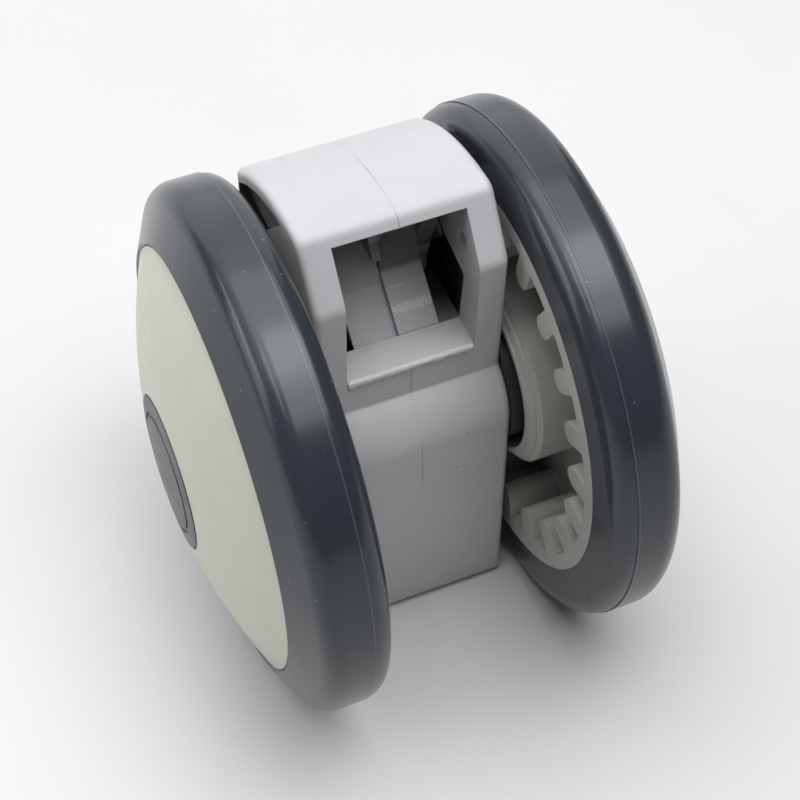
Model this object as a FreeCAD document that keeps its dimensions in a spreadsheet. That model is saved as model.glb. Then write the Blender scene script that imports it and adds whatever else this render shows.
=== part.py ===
import FreeCAD, Part
import math
import os
import re

import Sketcher
from FreeCAD import Vector

# Twin-wheel swivel caster with a foot brake, in millimetres and degrees.
# The axle lies along X, the wheels stand on Z = 0 and the open pedal pocket faces -Y.
# Places in the housing are given as (y, z) from the axle centre, distances along the axle as x.
SIZES = {
    # Tyre section
    "wheel_radius": 75.0,
    "tyre_face_x": 30.5,
    "tyre_height": 14.8,
    "shoulder_round": 5.8,
    "mould_step": 0.3,
    "tread_end_x": 43.9,
    "tyre_round": 7.0,
    "tyre_lean": 26.57,
    "tyre_lip_x": 55.2,
    "tyre_lip_land": 0.8,
    "tyre_lip_lean": 0.5,
    "tyre_fit": 0.05,
    # Toothed wheel core
    "rim_wall": 4.7,
    "rim_end_x": 52.5,
    "web_x": 46.5,
    "web_wall": 2.5,
    "hub_face_x": 28.3,
    "hub_radius": 28.5,
    "hub_wall": 5.2,
    "hub_bevel": 3.2,
    "hub_land": 1.7,
    "hub_step": 0.6,
    "cap_ledge": 2.7,
    "bush_boss_wall": 4.0,
    "bush_boss_end_x": 57.5,
    "bush_overhang": 0.3,
    "tooth_count": 21,
    "tooth_height": 9.9,
    "tooth_width": 6.6,
    # Axle line
    "axle_radius": 5.0,
    "bush_wall": 3.0,
    "spacer_radius": 19.5,
    "spacer_wall": 4.8,
    "nut_radius": 8.6,
    "nut_wall": 1.4,
    "axle_end": 1.0,
    "axle_boss_wall": 4.8,
    # Clearances
    "running_fit": 0.05,
    "press_gap": 0.02,
    "side_play": 0.3,
    # Hub cap and centre cap
    "dome_edge_x": 54.8,
    "dome_crown_x": 67.9,
    "cap_wall": 2.4,
    "cap_gap": 0.25,
    "centre_radius": 21.6,
    "centre_gap": 0.35,
    "centre_wall": 2.4,
    "centre_seat": 5.5,
    "centre_proud": 0.2,
    "ring_radius": 16.0,
    "ring_width": 1.2,
    "ring_depth": 0.5,
    # Housing outline
    "housing_half": 26.7,
    "hood_radius": 73.3,
    "hood_wall": 3.8,
    "roof_wall": 3.4,
    "wall": 2.4,
    "front_top_y": 0.2,
    "crease_y": -11.6,
    "crease_z": 56.3,
    "step_y": -9.8,
    "step_z": 13.8,
    "skirt_y": -18.5,
    "bulge_z": -1.0,
    "foot_z": -74.0,
    "back_y": 48.0,
    "heel_round": 20.0,
    "front_round": 4.5,
    "corner_round": 2.5,
    "step_round": 0.6,
    "edge_round": 2.0,
    # Pedal pocket and jamb plates
    "pocket_half": 18.3,
    "sill_z": 26.2,
    "sill_wall": 2.5,
    "sill_back_y": 0.2,
    "plate_low_y": -2.0,
    "plate_low_z": 45.0,
    "plate_high_y": 16.0,
    "plate_high_z": 49.5,
    "plate_corner_y": 22.0,
    "pivot_y": 0.0,
    "pivot_z": 56.2,
    "pivot_radius": 3.0,
    "pivot_depth": 5.0,
    "ledge_near_x": 13.3,
    "ledge_far_x": 21.7,
    "ledge_z": 18.0,
    "ledge_end_y": 27.5,
    # Side openings
    "rib_x": 22.0,
    "opening_distance": 54.6,
    "opening_normal": 42.3,
    "notch_play": 0.8,
    # Brake rocker, pin, bar and leaf spring
    "rocker_y": 15.0,
    "rocker_drop": 14.3,
    "pin_radius": 2.5,
    "pin_seat": 5.2,
    "rocker_wall": 1.8,
    "arm_inner_x": 12.6,
    "arm_wall": 4.9,
    "arm_half_width": 3.6,
    "bar_radius": 3.0,
    "bar_half": 43.0,
    "bar_clear": 7.9,
    "bar_rest_angle": 47.2,
    "bar_depth": 3.4,
    "lock_pitches": 2.5,
    "bar_tube_wall": 2.2,
    "flap_left_x": 11.6,
    "flap_depth": 3.0,
    "flap_toe_y": 0.8,
    "flap_toe_z": 24.0,
    "flap_bend_y": 12.6,
    "flap_bend_z": 34.6,
    "flap_top_y": 20.2,
    "flap_top_z": 47.0,
    "ramp_x": 0.9,
    "ramp_toe_y": 0.6,
    "ramp_toe_z": 25.9,
    "ramp_top_y": 13.2,
    "ramp_top_z": 37.6,
    "lean_y": 17.6,
    "lean_z": 47.0,
    "fin_left_x": 1.9,
    "fin_width": 3.5,
    "fin_low_y": 12.0,
    "fin_low_z": 44.2,
    "fin_high_y": 14.6,
    "fin_high_z": 48.7,
    "leaf_width": 5.0,
    "leaf_wall": 0.8,
    "leaf_start_y": 28.0,
    "leaf_bend_y": 41.5,
    "leaf_foot": 3.5,
    # Housing screws
    "screw_radius": 1.9,
    "screw_head_radius": 3.6,
    "screw_head": 2.6,
    "screw_sink": 6.0,
    "screw_grip": 12.0,
    "screw_boss_wall": 1.2,
    "screw_front_y": -9.0,
    "screw_back_y": 36.0,
    "screw_low_z": -58.0,
    "screw_high_z": 2.0,
    # Swivel boss and stem
    "swivel_y": 60.0,
    "swivel_boss_radius": 12.5,
    "swivel_boss_top": 0.0,
    "swivel_boss": 46.0,
    "stem_radius": 5.5,
    "stem_rise": 30.0,
    "stem_tail": 5.0,
    "stem_chamfer": 1.0,
    "stem_clear": 0.6,
    "swivel_bush_wall": 2.5,
    "swivel_bush": 12.0,
    "swivel_flange": 1.5,
    "swivel_flange_radius": 10.5,
    "thrust_wall": 1.2,
    "thrust_lap": 1.2,
    "collar_radius": 9.0,
    "collar_wall": 3.0,
    "clip_wall": 1.0,
    "clip_groove": 0.9,
    "clip_radius": 8.5,
}

doc = FreeCAD.newDocument("swivel_caster")
sheet = doc.addObject("Spreadsheet::Sheet", "Sizes")
for row, (alias, number) in enumerate(SIZES.items(), start=1):
    sheet.set("A%d" % row, alias)
    sheet.set("B%d" % row, str(number))
    sheet.setAlias("B%d" % row, alias)
doc.recompute()

# Formulas that several pieces share
RIM = "wheel_radius - tyre_height"
RIM_INNER = RIM + " - rim_wall"
TOOTH_TIP = RIM_INNER + " - tooth_height"
AXLE_SEAT = "axle_radius + press_gap"
BUSH_START = "housing_half + spacer_wall + side_play"
BUSH_END = "bush_boss_end_x + bush_overhang"
BUSH_RADIUS = "axle_radius + running_fit + bush_wall"
NUT_START = "(%s) + side_play" % BUSH_END
CAP_RADIUS = RIM + " - cap_gap"
LEDGE_RADIUS = RIM + " - cap_ledge"
CENTRE_BORE = "centre_radius + centre_gap"
DOME_RISE = "(dome_crown_x - dome_edge_x)"
DOME = "(((%s)^2 + %s^2) / (2 * %s))" % (CAP_RADIUS, DOME_RISE, DOME_RISE)
DOME_CENTRE = "dome_crown_x - " + DOME
CENTRE_FLOOR = "%s + sqrt(%s^2 - (%s)^2) - centre_wall" % (DOME_CENTRE, DOME, CENTRE_BORE)
HOOD_INNER = "hood_radius - hood_wall"
ROOF = "hood_radius - roof_wall"
ROCKER_Z = "(hood_radius - rocker_drop)"
BACK_INNER = "back_y - wall"
OPENING_COS = "cos(opening_normal)"
OPENING_SIN = "sin(opening_normal)"
GAP_ANGLE = "lock_pitches * 360 / tooth_count"
BAR_REST = "(%s - bar_clear)" % TOOTH_TIP
BAR_LOCK = "(%s + bar_depth)" % TOOTH_TIP
BAR_Y = BAR_REST + " * cos(bar_rest_angle)"
BAR_Z = BAR_REST + " * sin(bar_rest_angle)"
LOCK_Y = "%s * cos(%s)" % (BAR_LOCK, GAP_ANGLE)
LOCK_Z = "%s * sin(%s)" % (BAR_LOCK, GAP_ANGLE)
BAR_TUBE = "bar_radius + bar_tube_wall"
ROCKER_TUBE = "pin_radius + running_fit + rocker_wall"
ARM_OUTER = "arm_inner_x + arm_wall"
SWIVEL_BORE = "stem_radius + running_fit + swivel_bush_wall + press_gap"
SCREWS = (("screw_front_y", "screw_low_z"), ("screw_back_y", "screw_low_z"), ("screw_back_y", "screw_high_z"))

# How close an edge must lie to the place it is looked for
NEAR = 1e-3

nodes = []


def bind(formula):
    """Point every size in a formula at its cell in the sheet."""
    def point(word):
        return ("Sizes." if word.group() in SIZES else "") + word.group()

    return re.sub(r"[a-z][a-z_]+", point, formula)


def value(formula):
    """Work a formula out with the sheet's present numbers."""
    result = sheet.evalExpression(bind(formula))
    return float(getattr(result, "Value", result))


def sided(sign, formula):
    """Mirror a distance along the axle to the left wheel or half."""
    return formula if sign > 0 else "-(%s)" % formula


def new_body(name, along_y=None):
    """Start a body at axle height, over the axle or over the swivel axis."""
    body = doc.addObject("PartDesign::Body", name)
    body.Label = name
    body.setExpression("Placement.Base.z", bind("wheel_radius"))
    if along_y:
        body.setExpression("Placement.Base.y", bind(along_y))
    nodes.append(body)
    return body


def new_sketch(body, plane, offset=None):
    """Lay a sketch on one of the body's own planes, moved along its normal by a formula."""
    sketch = body.newObject("Sketcher::SketchObject", body.Name + "_sketch")
    support = next(item for item in body.Origin.OriginFeatures if item.Role == plane)
    sketch.AttachmentSupport = [(support, "")]
    sketch.MapMode = "FlatFace"
    if offset:
        sketch.setExpression("AttachmentOffset.Base.z", bind(offset))
    return sketch


def fix(sketch, geometry, point, axis, formula):
    """Hold one coordinate of a sketch point at a formula."""
    if formula == "0":
        sketch.addConstraint(Sketcher.Constraint("PointOnObject", geometry, point, -2 if axis == "X" else -1))
        return
    index = sketch.addConstraint(Sketcher.Constraint("Distance" + axis, geometry, point, value(formula)))
    sketch.setExpression("Constraints[%d]" % index, bind(formula))


def outline(sketch, corners, sign=1):
    """Draw a closed outline of lines and arcs.

    A corner is (h, v), or (h, v, (centre_h, centre_v, turn)) where an arc runs from it to the next corner.
    """
    corners = [(sided(sign, corner[0]),) + corner[1:] for corner in corners]
    points = [Vector(value(corner[0]), value(corner[1]), 0) for corner in corners]
    ends = []
    centres = []
    for index, corner in enumerate(corners):
        start = points[index]
        stop = points[(index + 1) % len(points)]
        if len(corner) == 2:
            ends.append((sketch.addGeometry(Part.LineSegment(start, stop), False), 1, 2))
            continue
        centre_h, centre_v, turn = corner[2]
        centre_h = sided(sign, centre_h) if centre_h != "0" else "0"
        centre = Vector(value(centre_h), value(centre_v), 0)
        angles = [math.atan2(point.y - centre.y, point.x - centre.x) for point in (start, stop)]
        forward = (turn == "ccw") == (sign > 0)
        if not forward:
            angles.reverse()
        circle = Part.Circle(centre, Vector(0, 0, 1), (start - centre).Length)
        arc = sketch.addGeometry(Part.ArcOfCircle(circle, *angles), False)
        ends.append((arc, 1, 2) if forward else (arc, 2, 1))
        wide = abs(stop.x - start.x) > abs(stop.y - start.y)
        centres.append((arc, 3, "Y", centre_v) if wide else (arc, 3, "X", centre_h))
    for index, (geometry, first, last) in enumerate(ends):
        following = ends[(index + 1) % len(ends)]
        sketch.addConstraint(Sketcher.Constraint("Coincident", geometry, last, following[0], following[1]))
    for corner, (geometry, first, last) in zip(corners, ends):
        fix(sketch, geometry, first, "X", corner[0])
        fix(sketch, geometry, first, "Y", corner[1])
    for centre in centres:
        fix(sketch, *centre)


def circle(sketch, centre_h, centre_v, radius):
    """Draw a circle whose centre and radius follow formulas."""
    geometry = sketch.addGeometry(Part.Circle(Vector(value(centre_h), value(centre_v), 0), Vector(0, 0, 1),
                                              value(radius)), False)
    fix(sketch, geometry, 3, "X", centre_h)
    fix(sketch, geometry, 3, "Y", centre_v)
    index = sketch.addConstraint(Sketcher.Constraint("Radius", geometry, value(radius)))
    sketch.setExpression("Constraints[%d]" % index, bind(radius))


def pad(body, sketch, length, reverse=False):
    """Raise a sketch into a solid."""
    feature = body.newObject("PartDesign::Pad", body.Name + "_pad")
    feature.Profile = sketch
    feature.setExpression("Length", bind(length))
    feature.Reversed = reverse
    sketch.Visibility = False
    return feature


def pocket(body, sketch, length, reverse=False):
    """Cut a sketch out of the body and make sure that it removes something."""
    doc.recompute()
    before = body.Shape.Volume
    feature = body.newObject("PartDesign::Pocket", body.Name + "_pocket")
    feature.Profile = sketch
    feature.setExpression("Length", bind(length))
    feature.Reversed = reverse
    doc.recompute()
    if not body.Shape.Volume < before:
        raise ValueError("a pocket cuts nothing in " + body.Label)
    return feature


def turned(name, corners, sign=1, axis="H_Axis", plane="XY_Plane", along_y=None):
    """Turn a half section about the axle, or about the swivel axis, into a body."""
    body = new_body(name, along_y)
    sketch = new_sketch(body, plane)
    outline(sketch, corners, sign)
    feature = body.newObject("PartDesign::Revolution", name + "_turn")
    feature.Profile = sketch
    feature.ReferenceAxis = (sketch, [axis])
    feature.Angle = 360
    return body


def ring(name, sign, inner, outer, start, length):
    """Make a plain ring on the axle."""
    near = start
    far = "(%s) + %s" % (start, length)
    return turned(name, [(near, inner), (far, inner), (far, outer), (near, outer)], sign)


def dome(radius, sink="0"):
    """Give the distance along the axle at which the cap's dome has this radius."""
    return "%s + sqrt((%s - %s)^2 - (%s)^2)" % (DOME_CENTRE, DOME, sink, radius)


def tyre(name, sign):
    """Rubber tyre with a round inner shoulder, a mould line, a flat tread and a leaning outer side."""
    seat = RIM + " + tyre_fit"
    mould_x = "tyre_face_x + shoulder_round"
    shoulder = "wheel_radius - mould_step - shoulder_round"
    corners = [
        ("tyre_face_x", seat),
        ("tyre_face_x", shoulder, (mould_x, shoulder, "cw")),
        (mould_x, "wheel_radius - mould_step"),
        (mould_x, "wheel_radius"),
        ("tread_end_x", "wheel_radius", ("tread_end_x", "wheel_radius - tyre_round", "cw")),
        ("tread_end_x + tyre_round * cos(tyre_lean)", "wheel_radius - tyre_round * (1 - sin(tyre_lean))"),
        ("tyre_lip_x", RIM + " + tyre_lip_land"),
        ("tyre_lip_x - tyre_lip_lean", seat),
    ]
    return turned(name, corners, sign)


def wheel_core(name, sign):
    """Moulded core: rim, web and hub tube, with brake teeth inside the rim."""
    bore = "(%s) + press_gap" % BUSH_RADIUS
    boss = "(%s) + bush_boss_wall" % BUSH_RADIUS
    boss_start = "(%s) + bush_overhang" % BUSH_START
    hub_inner = "hub_radius - hub_wall"
    land = "hub_radius - hub_wall + hub_land"
    middle = "hub_radius - (hub_wall - hub_land) / 2"
    web_end = "web_x + web_wall"
    corners = [
        (boss_start, bore), (boss_start, boss), ("web_x", boss), ("web_x", hub_inner),
        ("hub_face_x", hub_inner), ("hub_face_x", land), ("hub_face_x + hub_step", land),
        ("hub_face_x + hub_bevel / 2", middle), ("hub_face_x + hub_bevel / 2 + hub_step", middle),
        ("hub_face_x + hub_bevel", "hub_radius"), ("web_x", "hub_radius"), ("web_x", RIM_INNER),
        ("tyre_face_x", RIM_INNER), ("tyre_face_x", RIM), ("rim_end_x", RIM),
        ("rim_end_x", LEDGE_RADIUS), (web_end, LEDGE_RADIUS), (web_end, boss), ("bush_boss_end_x", boss),
        ("bush_boss_end_x", bore),
    ]
    body = turned(name, corners, sign)
    root = RIM_INNER + " + rim_wall / 2"
    half = "tooth_width / 2"
    tip_centre = TOOTH_TIP + " + tooth_width / 2"
    sketch = new_sketch(body, "YZ_Plane", sided(sign, "tyre_face_x"))
    outline(sketch, [(root, "-" + half), (root, half), (tip_centre, half, (tip_centre, "0", "ccw")),
                     (tip_centre, "-" + half)])
    tooth = pad(body, sketch, "web_x - tyre_face_x + web_wall / 2", sign < 0)
    doc.recompute()
    pattern = body.newObject("PartDesign::PolarPattern", name + "_teeth")
    pattern.Originals = [tooth]
    pattern.Axis = (next(item for item in body.Origin.OriginFeatures if item.Role == "X_Axis"), [""])
    pattern.Angle = 360
    pattern.setExpression("Occurrences", bind("tooth_count"))
    body.Tip = pattern
    return body


def hub_cap(name, sign):
    """Domed hub cap that seats on the rim's ledge and holds the centre cap."""
    seat_inner = "centre_radius - centre_seat"
    seat_outer = "(%s) + cap_wall" % CENTRE_BORE
    wall_radius = "(%s) + press_gap" % LEDGE_RADIUS
    centre = (DOME_CENTRE, "0")
    floor_back = "(%s) - cap_wall" % CENTRE_FLOOR
    corners = [
        ("rim_end_x", wall_radius), ("rim_end_x", CAP_RADIUS),
        (dome(CAP_RADIUS), CAP_RADIUS, centre + ("cw",)),
        (dome(CENTRE_BORE), CENTRE_BORE), (CENTRE_FLOOR, CENTRE_BORE), (CENTRE_FLOOR, seat_inner),
        (floor_back, seat_inner), (floor_back, seat_outer),
        (dome(seat_outer, "cap_wall"), seat_outer, centre + ("ccw",)),
        (dome(wall_radius, "cap_wall"), wall_radius),
    ]
    return turned(name, corners, sign)


def centre_cap(name, sign):
    """Round centre cap with one plain ring, let into the hub cap."""
    centre = (DOME_CENTRE + " + centre_proud", "0", "cw")
    ring_outer = "ring_radius + ring_width"
    edge = "(%s) + centre_proud" % dome("centre_radius")
    ring_far = "(%s) + centre_proud" % dome(ring_outer)
    ring_near = "(%s) + centre_proud" % dome("ring_radius")
    corners = [
        (CENTRE_FLOOR, "0"), (CENTRE_FLOOR, "centre_radius"), (edge, "centre_radius", centre),
        (ring_far, ring_outer), ("(%s) - ring_depth" % ring_far, ring_outer),
        ("(%s) - ring_depth" % ring_near, "ring_radius"), (ring_near, "ring_radius", centre),
        ("dome_crown_x + centre_proud", "0"),
    ]
    return turned(name, corners, sign)


def wheel(side, sign):
    """All pieces that turn together on one side."""
    tyre("tyre_" + side, sign)
    wheel_core("wheel_core_" + side, sign)
    ring("wheel_bush_" + side, sign, "axle_radius + running_fit", BUSH_RADIUS, BUSH_START,
         "(%s) - (%s)" % (BUSH_END, BUSH_START))
    hub_cap("hub_cap_" + side, sign)
    centre_cap("centre_cap_" + side, sign)


def soften(body, sign):
    """Round the plain outer block: first its corners along the axle, then the edge beside the wheel."""
    doc.recompute()
    outer_x = sign * value("housing_half")

    def along_axle(*places):
        points = [(value(y), value("wheel_radius + " + z)) for y, z in places]

        def chosen(box):
            here = any(math.hypot(box.YMin - y, box.ZMin - z) < NEAR for y, z in points)
            return here and box.XLength > NEAR

        return chosen

    def at_side(box):
        return abs(box.XMin - outer_x) < NEAR and abs(box.XMax - outer_x) < NEAR

    hood = "sqrt(hood_radius^2 - %s^2)"
    front = along_axle(("front_top_y", hood % "front_top_y"), ("crease_y", "crease_z"))
    corner = along_axle(("skirt_y", "foot_z"), ("back_y", hood % "back_y"))
    heel = along_axle(("back_y", "foot_z"))
    step = along_axle(("step_y", "step_z"))
    for chosen, radius in ((front, "front_round"), (corner, "corner_round"), (heel, "heel_round"),
                           (step, "step_round"), (at_side, "edge_round")):
        numbered = enumerate(body.Shape.Edges, start=1)
        edges = ["Edge%d" % number for number, edge in numbered if chosen(edge.BoundBox)]
        base = body.Tip
        fillet = body.newObject("PartDesign::Fillet", body.Name + "_round")
        fillet.Base = (base, edges)
        fillet.setExpression("Radius", bind(radius))
        doc.recompute()


def housing(name, sign):
    """One half of the housing, hollowed from the seam, with half of the swivel boss."""
    back = sign < 0
    body = new_body(name)
    side_inner = "housing_half - wall"
    bulge = "skirt_y + ((step_y - skirt_y)^2 + (step_z - bulge_z)^2) / (2 * (step_y - skirt_y))"

    def layer(corners, depth):
        sketch = new_sketch(body, "YZ_Plane")
        outline(sketch, corners)
        return pocket(body, sketch, depth, not back)

    def drilled(centre_y, centre_z, radius, depth):
        sketch = new_sketch(body, "YZ_Plane")
        circle(sketch, centre_y, centre_z, radius)
        return pocket(body, sketch, depth, not back)

    sketch = new_sketch(body, "YZ_Plane")
    outline(sketch, [
        ("back_y", "sqrt(hood_radius^2 - back_y^2)", ("0", "0", "ccw")),
        ("front_top_y", "sqrt(hood_radius^2 - front_top_y^2)"), ("crease_y", "crease_z"),
        ("step_y", "step_z", (bulge, "bulge_z", "ccw")), ("skirt_y", "bulge_z"), ("skirt_y", "foot_z"),
        ("back_y", "foot_z"),
    ])
    pad(body, sketch, "housing_half", back)
    soften(body, sign)

    # Lower chamber, up to the side wall
    layer([
        ("skirt_y + wall", "foot_z + wall"),
        ("back_y - heel_round", "foot_z + wall", ("back_y - heel_round", "foot_z + heel_round", "ccw")),
        (BACK_INNER, "foot_z + heel_round"), (BACK_INNER, "plate_high_z"),
        ("plate_high_y", "plate_high_z"), ("plate_low_y", "plate_low_z"), ("sill_back_y", "sill_z"),
        ("sill_back_y", "sill_z - sill_wall"), ("step_y + wall", "sill_z - sill_wall"),
        ("step_y + wall", "step_z - wall"), ("skirt_y + wall", "bulge_z - wall"),
    ], side_inner)
    # Room under the hood, up to the stiffening rib
    corner_z = "(opening_distance - plate_corner_y * %s) / %s" % (OPENING_COS, OPENING_SIN)
    reach = "sqrt((%s)^2 - opening_distance^2)" % HOOD_INNER
    line_y = "opening_distance * %s - %s * %s" % (OPENING_COS, reach, OPENING_SIN)
    line_z = "opening_distance * %s + %s * %s" % (OPENING_SIN, reach, OPENING_COS)
    hood_back_z = "sqrt((%s)^2 - (%s)^2)" % (HOOD_INNER, BACK_INNER)
    layer([
        ("plate_high_y", "plate_high_z"), (BACK_INNER, "plate_high_z - wall"),
        (BACK_INNER, hood_back_z, ("0", "0", "ccw")), (line_y, line_z), ("plate_corner_y", corner_z),
    ], "rib_x")
    # Pedal pocket between the jamb plates, open to the front
    room_y = "plate_corner_y + wall"
    front_y = "skirt_y - wall"
    layer([
        (front_y, "sill_z"), (room_y, "sill_z"),
        (room_y, "sqrt((%s)^2 - (%s)^2)" % (ROOF, room_y), ("0", "0", "ccw")),
        ("crease_y", "sqrt((%s)^2 - crease_y^2)" % ROOF), (front_y, "sqrt((%s)^2 - crease_y^2)" % ROOF),
    ], "pocket_half")
    # Segment cut away beside the hood's rim, from outside
    sketch = new_sketch(body, "YZ_Plane", sided(sign, "housing_half"))
    outline(sketch, [
        (BACK_INNER, "(opening_distance - (%s) * %s) / %s" % (BACK_INNER, OPENING_COS, OPENING_SIN)),
        (BACK_INNER, hood_back_z, ("0", "0", "ccw")), (line_y, line_z),
    ])
    pocket(body, sketch, "wall", back)
    # Slot in the side wall that guides the brake bar on its way between the teeth
    half = "(bar_radius + notch_play)"
    travel_y = "(%s - %s)" % (LOCK_Y, BAR_Y)
    travel_z = "(%s - %s)" % (LOCK_Z, BAR_Z)
    travel = "sqrt(%s^2 + %s^2)" % (travel_y, travel_z)

    def beside(centre_y, centre_z, hand):
        return ("%s %s %s * %s / %s" % (centre_y, "+" if hand > 0 else "-", half, travel_z, travel),
                "%s %s %s * %s / %s" % (centre_z, "-" if hand > 0 else "+", half, travel_y, travel))

    sketch = new_sketch(body, "YZ_Plane", sided(sign, "housing_half"))
    outline(sketch, [
        beside(LOCK_Y, LOCK_Z, 1) + ((LOCK_Y, LOCK_Z, "ccw"),), beside(LOCK_Y, LOCK_Z, -1),
        beside(BAR_Y, BAR_Z, -1) + ((BAR_Y, BAR_Z, "ccw"),), beside(BAR_Y, BAR_Z, 1),
    ])
    pocket(body, sketch, "2 * wall", back)

    # Axle and screw bosses
    for centre_y, centre_z, radius in [("0", "0", AXLE_SEAT + " + axle_boss_wall")] + [
            (y, z, "screw_head_radius + screw_boss_wall") for y, z in SCREWS]:
        sketch = new_sketch(body, "YZ_Plane")
        circle(sketch, centre_y, centre_z, radius)
        pad(body, sketch, "housing_half - wall / 2", back)
    drilled("0", "0", AXLE_SEAT, "housing_half")
    for screw_y, screw_z in SCREWS:
        if back:
            drilled(screw_y, screw_z, "screw_radius + press_gap", "screw_grip + wall")
            continue
        drilled(screw_y, screw_z, "screw_radius + press_gap", "housing_half")
        sketch = new_sketch(body, "YZ_Plane", "housing_half")
        circle(sketch, screw_y, screw_z, "screw_head_radius + side_play")
        pocket(body, sketch, "screw_sink")

    # Seat of the rocker pin and the open holes for a pedal
    drilled("rocker_y", ROCKER_Z, "pin_radius + press_gap", "pocket_half + pin_seat + side_play")
    drilled("pivot_y", "pivot_z", "pivot_radius", "pocket_half + pivot_depth")

    # Ledge that reaches back from the front wall beside the ramp
    if not back:
        sketch = new_sketch(body, "YZ_Plane", "ledge_near_x")
        outline(sketch, [
            ("step_y + wall / 2", "ledge_z - wall"), ("ledge_end_y", "ledge_z - wall"),
            ("ledge_end_y", "ledge_z"), ("step_y + wall / 2", "ledge_z"),
        ])
        pad(body, sketch, "ledge_far_x - ledge_near_x")

    # Half of the swivel boss on the back wall
    boss_low = "swivel_boss_top - swivel_boss"
    sketch = new_sketch(body, "XY_Plane", boss_low)
    outline(sketch, [
        ("0", "back_y - wall / 2"), ("swivel_boss_radius", "back_y - wall / 2"),
        ("swivel_boss_radius", "swivel_y", ("0", "swivel_y", "ccw")), ("0", "swivel_y + swivel_boss_radius"),
    ], sign)
    pad(body, sketch, "swivel_boss")
    for offset, depth, radius in ((boss_low, "swivel_boss", "stem_radius + stem_clear"),
                                  (boss_low, "swivel_bush", SWIVEL_BORE),
                                  ("swivel_boss_top - swivel_bush", "swivel_bush", SWIVEL_BORE)):
        sketch = new_sketch(body, "XY_Plane", offset)
        outline(sketch, [
            ("0", "swivel_y - (%s)" % radius, ("0", "swivel_y", "ccw")), ("0", "swivel_y + (%s)" % radius),
        ], sign)
        pocket(body, sketch, depth, True)
    return body


def screws():
    """Three screws that draw the housing halves together, kept as one group."""
    head_x = "housing_half - screw_sink"
    pieces = []
    for index, (screw_y, screw_z) in enumerate(SCREWS, start=1):
        pair = []
        for part, radius, start, length in (
                ("head", "screw_head_radius", head_x, "screw_head"),
                ("shank", "screw_radius", "-screw_grip", "screw_grip + " + head_x)):
            cylinder = doc.addObject("Part::Cylinder", "screw_%s_%d" % (part, index))
            cylinder.setExpression("Radius", bind(radius))
            cylinder.setExpression("Height", bind(length))
            cylinder.Placement = FreeCAD.Placement(Vector(0, 0, 0), FreeCAD.Rotation(Vector(0, 1, 0), 90))
            cylinder.setExpression("Placement.Base.x", bind(start))
            cylinder.setExpression("Placement.Base.y", bind(screw_y))
            cylinder.setExpression("Placement.Base.z", bind("wheel_radius + " + screw_z))
            pair.append(cylinder)
        screw = doc.addObject("Part::Fuse", "screw_%d" % index)
        screw.Base, screw.Tool = pair
        pieces.append(screw)
    group = doc.addObject("Part::Compound", "housing_screws")
    group.Label = "housing_screws"
    group.Links = pieces
    nodes.append(group)


def rod(name, radius, half, place_y, place_z):
    """Round bar along the axle's direction, centred between the wheels."""
    body = new_body(name)
    sketch = new_sketch(body, "YZ_Plane", "-(%s)" % half)
    circle(sketch, place_y, place_z, radius)
    pad(body, sketch, "2 * (%s)" % half)
    return body


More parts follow.
